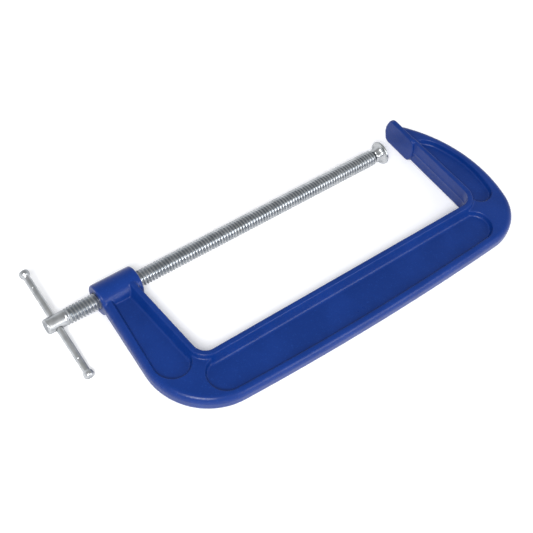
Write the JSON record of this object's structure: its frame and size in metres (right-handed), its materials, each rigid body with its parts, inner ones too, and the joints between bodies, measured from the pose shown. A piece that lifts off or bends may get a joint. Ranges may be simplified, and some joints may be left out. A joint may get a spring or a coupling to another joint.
{
  "type": "c clamp",
  "caption": "Heavy duty C clamp with a ribbed cast frame, a long clamp screw, a sliding tommy bar and a swivel pad.",
  "frame": {"origin": "centre of the anvil's face, on the axis of the clamp screw", "axes": "+X from the tommy bar towards the anvil, along the screw; +Y from the spine towards the screw; +Z through the frame's thickness, up as the clamp lies on its side"},
  "size_m": [0.4597, 0.2155, 0.0302],
  "materials": {
    "blue_paint": "blue enamel over a sand casting, half gloss",
    "screw_zinc": "bright zinc plate on a rolled thread",
    "bar_zinc": "bright zinc plate",
    "pad_zinc": "bright zinc plate, turned and crimped"
  },
  "bodies": {
    "frame": {"frame_casting": "blue_paint"},
    "pad": {"swivel_pad": "pad_zinc"},
    "screw": {"clamp_screw": "screw_zinc"},
    "bar": {"tommy_bar": "bar_zinc"}
  },
  "joints": [
    {"name": "pad_travel", "type": "slide", "parent": "frame", "child": "pad", "axis": [1, 0, 0], "range_m": [-0.2845, 0.026]},
    {"name": "screw_spin", "type": "hinge", "parent": "pad", "child": "screw", "pos_m": [-0.2, 0, 0], "axis": [1, 0, 0], "range_deg": [-32300, 2990]},
    {"name": "bar_slide", "type": "slide", "parent": "screw", "child": "bar", "axis": [0, 0.9848, 0.1736], "range_m": [-0.0435, 0.0455]}
  ],
  "couplings": [
    {"joint": "screw_spin", "follows": "pad_travel", "rad_per_m": 1979}
  ]
}
